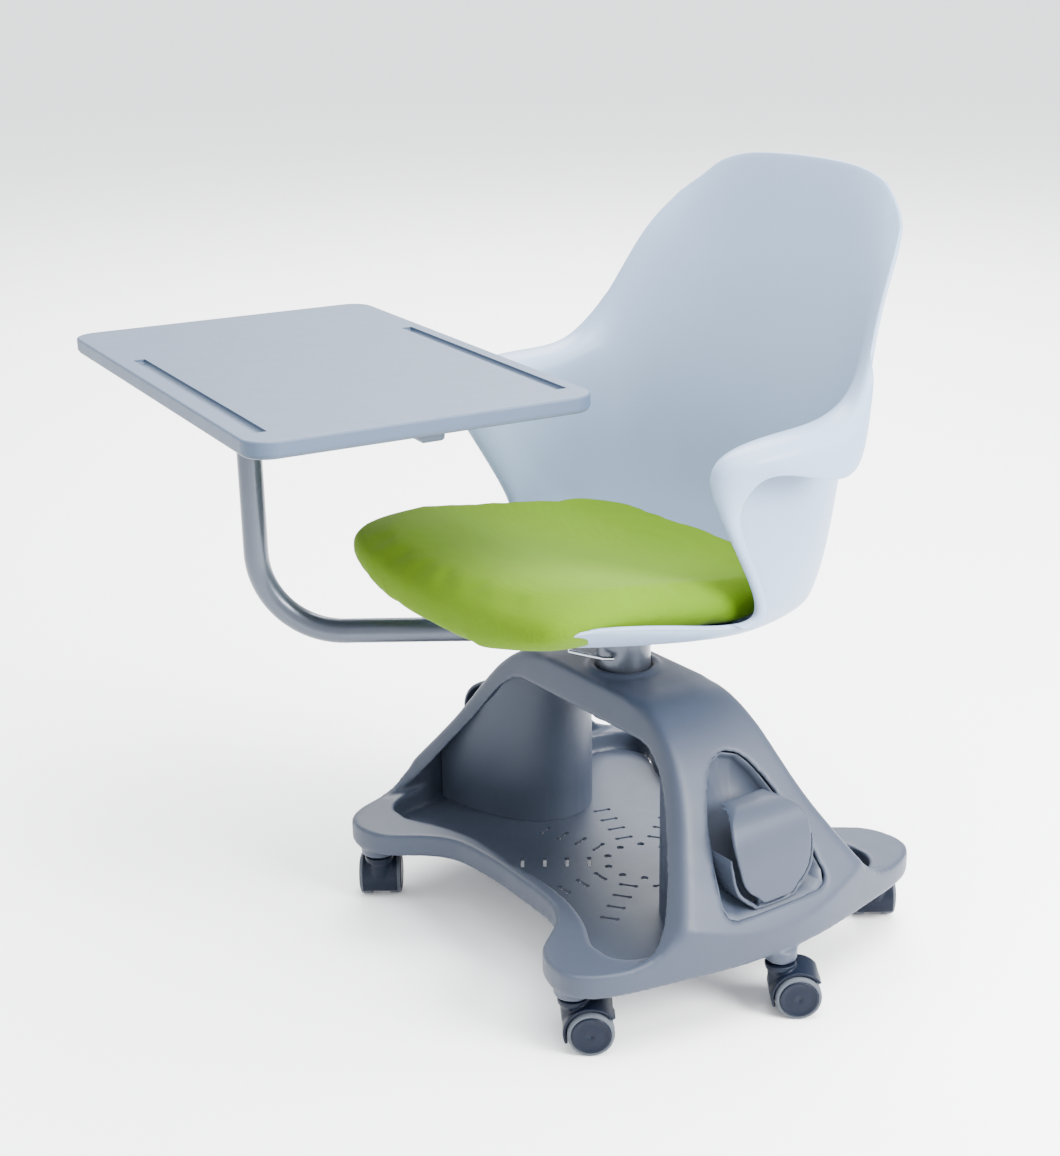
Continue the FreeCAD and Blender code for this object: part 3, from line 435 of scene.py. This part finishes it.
def make_shell():
    """Seat, back and arms in one skin with a rounded rim."""
    half_net = [spread(row) for row in SEAT_ROWS] + ARM_ROWS + [spread(row) for row in BACK_ROWS]
    net = np.array([[(-x, y, z) for x, y, z in reversed(row[1:])] + row for row in half_net], float) / 1000
    net[:, :, 2] += BOSS_H
    rows, cols = SHELL_ROWS, SHELL_COLUMNS
    along, across = clamped_basis(net.shape[0], rows), clamped_basis(net.shape[1], cols)
    outer = np.einsum("ri,ijk,cj->rck", along, net, across)
    slope_r, slope_c = np.gradient(outer, axis=0), np.gradient(outer, axis=1)
    normal = np.cross(slope_c, slope_r)
    normal /= np.linalg.norm(normal, axis=2, keepdims=True)
    inner = outer + normal * SHELL_T
    verts = list(outer.reshape(-1, 3)) + list(inner.reshape(-1, 3))
    faces, half = [], rows * cols

    def at(r, c):
        return r * cols + c

    for r in range(rows - 1):
        for c in range(cols - 1):
            faces.append((at(r, c), at(r, c + 1), at(r + 1, c + 1), at(r + 1, c)))
            faces.append((half + at(r, c), half + at(r + 1, c), half + at(r + 1, c + 1), half + at(r, c + 1)))
    # the rim: a half circle of faces that joins the outer and inner skins all the way round
    edge = [(0, c) for c in range(cols)] + [(r, cols - 1) for r in range(1, rows)]
    edge += [(rows - 1, c) for c in range(cols - 2, -1, -1)] + [(r, 0) for r in range(rows - 2, 0, -1)]
    rings = []
    for r, c in edge:
        inside = outer[min(max(r, 1), rows - 2), min(max(c, 1), cols - 2)]
        out = outer[r, c] - inside
        out -= normal[r, c] * out.dot(normal[r, c])
        out /= np.linalg.norm(out)
        middle = (outer[r, c] + inner[r, c]) / 2
        ring = [at(r, c)]
        for k in range(1, 6):
            t = math.pi * k / 6
            ring.append(len(verts))
            verts.append(middle + (outer[r, c] - middle) * math.cos(t) + out * SHELL_T / 2 * math.sin(t))
        rings.append(ring + [half + at(r, c)])
    for one, two in zip(rings, rings[1:] + rings[:1]):
        for k in range(6):
            faces.append((one[k], one[k + 1], two[k + 1], two[k]))
    piece = new_piece("shell", verts, faces)
    face_outwards(piece)
    return finish_piece(piece, "seat", "shell_plastic", "seat_shell")


# ---------------------------------------------------------------- cushion
CUSHION_Y = -0.07                      # middle of the pad
CUSHION_BOTTOM = 0.404                 # lowest part of its underside, inside the shell
CUSHION_EDGE_R = 0.018
CUSHION_RINGS, CUSHION_STEPS = 26, 160
CUSHION_VOXEL = 0.0045


def cushion_half_width(y):
    """Half width of the cushion at y, in metres."""
    ys = [-0.270, -0.268, -0.264, -0.257, -0.247, -0.233, -0.20, -0.12, -0.04, 0.04, 0.09, 0.115, 0.127, 0.13]
    ws = [0.0, 0.070, 0.120, 0.160, 0.190, 0.2045, 0.2085, 0.2075, 0.206, 0.204, 0.195, 0.170, 0.110, 0.0]
    return np.interp(y, ys, ws)


def cushion_outline(angles):
    """Distance from the pad's middle to its edge in each direction, with the corners eased."""
    outline = []
    for a in angles:
        reach = 0.0
        for r in np.linspace(0.02, 0.30, 561):
            x, y = r * math.cos(a), CUSHION_Y + r * math.sin(a)
            if abs(x) > cushion_half_width(y):
                break
            reach = r
        outline.append(reach)
    outline = np.array(outline)
    for _ in range(3):
        outline = 0.5 * outline + 0.25 * (np.roll(outline, 1) + np.roll(outline, -1))
    return outline


def cushion_top(x, y):
    """Height of the pad's top: full front, a shallow dish behind it, raised thighs and sides."""
    run = np.interp(y, [-0.268, -0.235, -0.20, -0.15, -0.10, -0.04, 0.04, 0.13],
                    [0.456, 0.463, 0.466, 0.464, 0.458, 0.449, 0.438, 0.440])
    dish = 0.006 * math.exp(-((x / 0.10) ** 2 + ((y + 0.02) / 0.11) ** 2))
    thigh = 0.004 * math.exp(-((abs(x) - 0.115) / 0.06) ** 2 - ((y + 0.20) / 0.07) ** 2)
    side = 0.006 * (min(1.0, abs(x) / 0.19) ** 4)
    return run - dish + thigh + side


def cushion_rim(x, y):
    """The pad's lower edge: highest at the front corners, low in the middle and by the arms."""
    across = np.interp(abs(x), [0.03, 0.085, 0.130, 0.160, 0.186, 0.205],
                       [0.412, 0.417, 0.428, 0.436, 0.443, 0.451])
    along = np.interp(y, [-0.22, -0.181, -0.144, -0.067, 0.007, 0.06],
                      [0.451, 0.445, 0.439, 0.425, 0.416, 0.424])
    return min(across, along)


def make_cushion():
    """Foam pad: rings of points from the middle of the top to the edge, and back under to the middle."""
    rings, steps = CUSHION_RINGS, CUSHION_STEPS
    verts, faces = [], []
    angles = [2 * math.pi * k / steps for k in range(steps)]
    outline = cushion_outline(angles)
    for k in range(rings + 1):
        share = 1 - (1 - k / rings) ** 1.7
        for a, reach in zip(angles, outline):
            x, y = reach * share * math.cos(a), CUSHION_Y + reach * share * math.sin(a)
            short = max(0.0, CUSHION_EDGE_R - reach * (1 - share))
            drop = CUSHION_EDGE_R - math.sqrt(CUSHION_EDGE_R ** 2 - short ** 2)
            verts.append((x, y, BOSS_H + cushion_top(x, y) - drop))
            if k == 0:
                break
    top_count = len(verts)
    for k in range(rings, -1, -1):
        share = (k / rings) * 0.992
        for a, reach in zip(angles, outline):
            x, y = reach * share * math.cos(a), CUSHION_Y + reach * share * math.sin(a)
            rise = max(0.0, (share - 0.35) / 0.65) ** 1.5
            climb = cushion_rim(x, y) - 0.003 - CUSHION_BOTTOM
            verts.append((x, y, BOSS_H + CUSHION_BOTTOM + climb * rise))
            if k == 0:
                break

    def ring_at(k):
        return 0 if k == 0 else 1 + (k - 1) * steps

    for s in range(steps):
        t = (s + 1) % steps
        faces.append((0, 1 + s, 1 + t))
        for k in range(1, rings):
            a, b = ring_at(k), ring_at(k + 1)
            faces.append((a + s, b + s, b + t, a + t))
        last = ring_at(rings)
        faces.append((last + s, top_count + s, top_count + t, last + t))
        for k in range(rings - 1):
            a, b = top_count + k * steps, top_count + (k + 1) * steps
            faces.append((a + s, b + s, b + t, a + t))
        inmost = top_count + (rings - 1) * steps
        faces.append((inmost + s, len(verts) - 1, inmost + t))
    piece = new_piece("cushion", verts, faces)
    face_outwards(piece)
    voxels(piece, CUSHION_VOXEL)
    relax(piece, 10)
    swell(piece, 0.006)
    mod = piece.modifiers.new("fine", "SUBSURF")
    mod.levels = mod.render_levels = 1
    bake(piece)
    piece.data.shade_smooth()
    finish_piece(piece, "seat", "cushion_fabric", "seat_cushion")
    return piece


SWELL_FRAMES = 20
SWELL_PRESSURE = 4.0
COVER_STIFFNESS = 12


def swell(piece, cap):
    """Lets the foam push its cover out, no point by more than cap."""
    start = points_of(piece)
    cloth = piece.modifiers.new("cover", "CLOTH")
    cloth.settings.use_pressure = True
    cloth.settings.uniform_pressure_force = SWELL_PRESSURE
    cloth.settings.tension_stiffness = cloth.settings.compression_stiffness = COVER_STIFFNESS
    cloth.settings.effector_weights.gravity = 0
    scene = bpy.context.scene
    scene.frame_start, scene.frame_end = 1, SWELL_FRAMES
    cloth.point_cache.frame_end = SWELL_FRAMES
    for step in range(1, SWELL_FRAMES + 1):
        scene.frame_set(step)
    bake(piece)
    scene.frame_set(1)
    moved = points_of(piece) - start
    far = np.linalg.norm(moved, axis=1, keepdims=True)
    set_points(piece, start + moved * np.minimum(1.0, cap / np.maximum(far, 1e-9)))
    relax(piece, 3)


# ---------------------------------------------------------------- base
# The leg's outer edge seen from the front, (x, z), and its side edge seen from the side, (y, z), in mm.
SHOULDER = [(92, 300), (137, 287), (160, 270), (186, 240), (225, 180), (264, 125), (283, 94), (299, 58)]
FLARE = [(56, 300), (60, 285), (72, 240), (96, 180), (112, 150), (130, 120), (152, 100), (190, 90), (262, 84)]
BASE_VOXEL, BASE_VOXEL_QUICK = 0.0023, 0.0050
CREASE_REACH, CREASE_FADE = 0.020, 0.010       # how far from the edges the moulding is rounded
CREASE_Z = (108, 306)                          # and between which heights, in mm


def make_base():
    """The arched moulding, with the soft edges that the plain CAD solid lacks."""
    piece = voxels(copied(["base_moulding"], "base"), BASE_VOXEL)
    spots = points_of(piece)
    z = (spots[:, 2] - BOSS_H) * 1000
    x_edge = np.interp(-z, [-s[1] for s in SHOULDER], [s[0] for s in SHOULDER]) / 1000
    y_edge = np.interp(-z, [-f[1] for f in FLARE], [f[0] for f in FLARE]) / 1000
    off = np.hypot(np.abs(spots[:, 0]) - x_edge, np.abs(spots[:, 1]) - y_edge)
    crease = np.clip((CREASE_REACH - off) / CREASE_FADE, 0, 1) * (z > CREASE_Z[0]) * (z < CREASE_Z[1])
    relax(piece, 36, crease)
    relax(piece, 8)
    return finish_piece(piece, "base", "base_plastic", "base_moulding")


def soften(piece_name, nodes, body, slot, size, steps):
    """A copy of some CAD nodes with its edges rounded by a few steps of smoothing."""
    piece = voxels(copied(nodes, piece_name), size * (1))
    relax(piece, steps)
    return finish_piece(piece, body, slot, *nodes)


# Half of a leg's window, (y, z) in mm from the top to the bottom, and the bowl behind it.
WINDOW = [(0, 253), (20, 247), (34, 230), (50, 198), (62, 160), (70, 126), (66, 114), (52, 108), (0, 107)]
WINDOW_MIDDLE_Z = 170
BOWL_START, BOWL_DEPTH = 5.5, 34.0             # depth at the window's edge, and how much deeper the middle is
BOWL_RINGS = 16


def make_recess(side):
    """Shallow bowl behind a leg's window, round the cup holder."""
    sign = 1 if side == "left" else -1
    at = np.linspace(0, len(WINDOW) - 1, 49)
    ys = np.interp(at, range(len(WINDOW)), [y for y, z in WINDOW]) + 1.0
    zs = np.interp(at, range(len(WINDOW)), [z for y, z in WINDOW])
    outline = list(zip(ys, zs)) + list(zip(-ys[-2:0:-1], zs[-2:0:-1]))
    heights, widths = [-z for x, z in SHOULDER], [x for x, z in SHOULDER]
    verts, faces = [], []
    for k in range(BOWL_RINGS):
        share = 1 - k / BOWL_RINGS
        depth = BOWL_START + BOWL_DEPTH * math.sqrt(1 - share ** 2)
        for y, z in outline:
            z = WINDOW_MIDDLE_Z + (z - WINDOW_MIDDLE_Z) * share
            x = sign * (np.interp(-z, heights, widths) - depth)
            verts.append((x / 1000, y * share / 1000, z / 1000 + BOSS_H))
    count = len(outline)
    for k in range(BOWL_RINGS - 1):
        for m in range(count):
            n = (m + 1) % count
            faces.append((k * count + m, k * count + n, (k + 1) * count + n, (k + 1) * count + m))
    faces.append(tuple(range((BOWL_RINGS - 1) * count, BOWL_RINGS * count)))
    piece = new_piece("recess_" + side, verts, faces)
    skin = piece.modifiers.new("skin", "SOLIDIFY")
    skin.thickness = 0.002
    bake(piece)
    return finish_piece(piece, "base", "base_plastic")


# ---------------------------------------------------------------- casters
WHEEL_R, WHEEL_W = 0.025, 0.015
WHEEL_GAP = 0.019                              # between the two wheels of a pair
TRAIL = 0.018                                  # from the stem to the axle
HOOD_HALF = WHEEL_GAP / 2 + WHEEL_W - 0.0035   # half width of the fender over the wheels
BODY_HALF = WHEEL_GAP / 2 - 0.0010             # half width of the body between them
FENDER_IN, FENDER_OUT = WHEEL_R + 0.0012, WHEEL_R + 0.0046


def caster_places():
    """Name, stem position and trail direction of each caster, from its joints in the frame."""
    joints = {joint["name"]: joint for joint in frame["joints"]}
    for name, joint in joints.items():
        if name.startswith("caster_") and name.endswith("_swivel"):
            x, y, _ = joint["pos_m"]
            across = joints[name.replace("_swivel", "_roll")]["axis"]
            yield name[len("caster_"):-len("_swivel")], x, y, math.atan2(-across[0], across[1])


def wheel_profiles():
    """Profiles of the hub, a nearly flat disc that covers the axle's end, and of the tyre round it."""
    y0, y1 = WHEEL_GAP / 2, WHEEL_GAP / 2 + WHEEL_W
    hub = [(0.0033, y0), (0.0205, y0), (0.0209, y0 + 0.001), (0.0209, y1 - 0.0006), (0.0202, y1 + 0.0006),
           (0.0188, y1 + 0.0010), (0.0180, y1 + 0.0002), (0.0120, y1 + 0.0003), (0.0070, y1 + 0.0009),
           (0.0001, y1 + 0.0012), (0.0001, y1 - 0.0010), (0.0033, y1 - 0.0012)]
    tyre = [(0.0210, y0 + 0.0003), (0.0232, y0 + 0.0003), (0.0244, y0 + 0.0012), (0.0249, y0 + 0.0032),
            (0.0250, y0 + 0.0060), (0.0250, y1 - 0.0060), (0.0249, y1 - 0.0032), (0.0243, y1 - 0.0012),
            (0.0232, y1 - 0.0004), (0.0218, y1 - 0.0002), (0.0210, y1 - 0.0005)]
    return hub, tyre


def both_sides(profile):
    """The two wheels of a pair, each turned from the same profile about the axle."""
    verts, faces = lathe(profile, 72, "Y")
    n = len(verts)
    verts = list(verts) + [(x, -y, z) for x, y, z in verts]
    faces = list(faces) + [tuple(n + k for k in reversed(f)) for f in faces]
    return [(x + TRAIL, y, z + WHEEL_R) for x, y, z in verts], faces


def arc_bar(start, sweep, inner, outer, half, steps=40):
    """Bar of rectangular section bent round the axle, from start through sweep degrees."""
    verts = []
    for k in range(steps + 1):
        t = math.radians(start + sweep * k / steps)
        for r, y in ((inner, -half), (outer, -half), (outer, half), (inner, half)):
            verts.append((TRAIL + r * math.cos(t), y, WHEEL_R + r * math.sin(t)))
    faces = [(4 * k + m, 4 * k + (m + 1) % 4, 4 * k + 4 + (m + 1) % 4, 4 * k + 4 + m)
             for k in range(steps) for m in range(4)]
    return verts, faces + [(3, 2, 1, 0), tuple(4 * steps + m for m in range(4))]


def caster_hood():
    """Moulded hood: collar round the stem, body between the wheels and the fender over them."""
    made = bmesh.new()

    def add(verts, faces):
        index = [made.verts.new(v) for v in verts]
        for f in faces:
            made.faces.new([index[k] for k in f])

    collar = [(0.0001, 0.030), (0.0125, 0.030), (0.0140, 0.048), (0.0168, 0.0535), (0.0170, 0.0583),
              (0.0160, 0.059), (0.0001, 0.059)]
    add(*lathe(collar, 48))
    body = [(0.0001, -BODY_HALF), (0.0185, -BODY_HALF), (0.0185, BODY_HALF), (0.0001, BODY_HALF)]
    verts, faces = lathe(body, 48, "Y")
    add([(x + TRAIL, y, z + WHEEL_R) for x, y, z in verts], faces)
    add(*arc_bar(36, 168, FENDER_IN, FENDER_OUT, HOOD_HALF))
    add(*arc_bar(20, 180, 0.015, WHEEL_R + 0.0030, BODY_HALF))
    bmesh.ops.recalc_face_normals(made, faces=made.faces)
    mesh = bpy.data.meshes.new("hood")
    made.to_mesh(mesh)
    made.free()
    piece = bpy.data.objects.new("hood", mesh)
    bpy.context.scene.collection.objects.link(piece)
    voxels(piece, 0.0008)
    relax(piece, 5)
    return piece


def make_casters():
    """Six copies of one hood, one pair of hubs and one pair of tyres."""
    hood = caster_hood()
    hub_profile, tyre_profile = wheel_profiles()
    hub = new_piece("hub", *both_sides(hub_profile))
    tyre = new_piece("tyre", *both_sides(tyre_profile))
    for name, x, y, angle in caster_places():
        place = Matrix.Translation((x, y, 0)) @ Matrix.Rotation(angle, 4, "Z")
        for source, body, slot, kind in ((hood, "caster_", "caster_plastic", "hood"),
                                         (hub, "wheels_", "caster_plastic", "hubs"),
                                         (tyre, "wheels_", "tyre_rubber", "tyres")):
            piece = bpy.data.objects.new("%s_%s" % (name, kind), source.data.copy())
            bpy.context.scene.collection.objects.link(piece)
            piece.data.transform(place)
            finish_piece(piece, body + name, slot, "caster_%s_%s" % (name, kind))
    for source in (hood, hub, tyre):
        bpy.data.objects.remove(source)


# ---------------------------------------------------------------- everything
MATERIALS = make_materials()
make_camera()
make_stage()

for subpart in frame["record"]["subparts"]:
    cad = frame["nodes"][subpart["node"]]
    cad.data.materials.clear()
    cad.data.materials.append(MATERIALS[subpart["material_slot"]])

make_shell()
make_cushion()
make_base()
for side in ("left", "right"):
    soften("flap_" + side, ["cup_flap_" + side], "flap_" + side, "base_plastic", 0.0011, 6)
    soften("pocket_" + side, ["cup_pocket_" + side], "base", "base_plastic", 0.0014, 5)
    make_recess(side)
make_casters()
